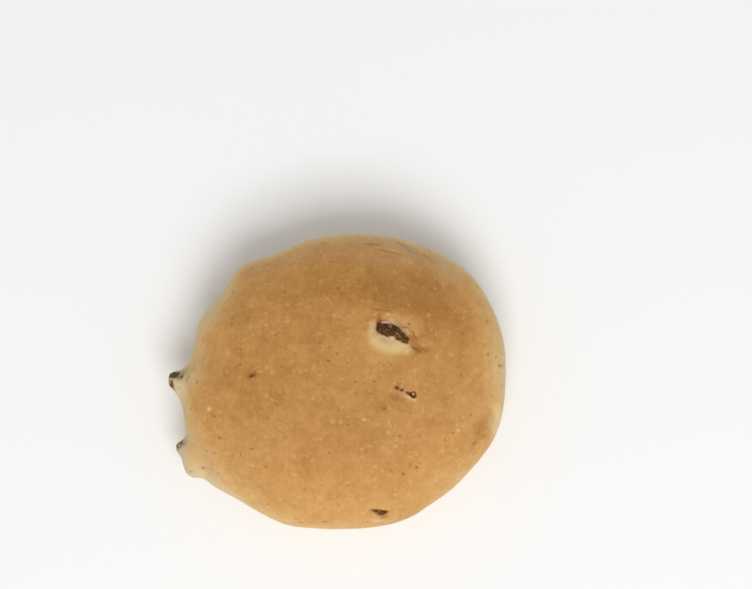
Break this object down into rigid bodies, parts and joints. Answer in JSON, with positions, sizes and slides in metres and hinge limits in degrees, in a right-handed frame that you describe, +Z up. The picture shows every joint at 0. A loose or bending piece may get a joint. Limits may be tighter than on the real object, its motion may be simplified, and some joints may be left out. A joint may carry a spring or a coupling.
{
  "type": "raisin bun",
  "caption": "Low round baked bun, slightly oval, with a gently domed brown top, a pale side, a flat base and raisins in and under its skin.",
  "frame": {"origin": "on the surface that the bun stands on, under the middle of the box around the bun", "axes": "+Z up through the domed top, X along the bun's longer side, with the raisins that stick out of the side towards -X"},
  "size_m": [0.1008, 0.088, 0.0415],
  "materials": {
    "crust": "baked wheat crust, matte, golden brown on top and pale cream where the skin is thin or torn",
    "raisin": "dried grape skin, very dark purple brown, wrinkled, slightly glossy"
  },
  "bodies": {
    "root": {"bun": "crust", "raisin_top": "raisin", "raisin_top_small": "raisin", "raisin_front": "raisin", "raisin_left": "raisin", "raisin_left_low": "raisin", "raisin_right": "raisin", "raisin_back": "raisin", "raisin_back_left": "raisin"}
  },
  "joints": []
}
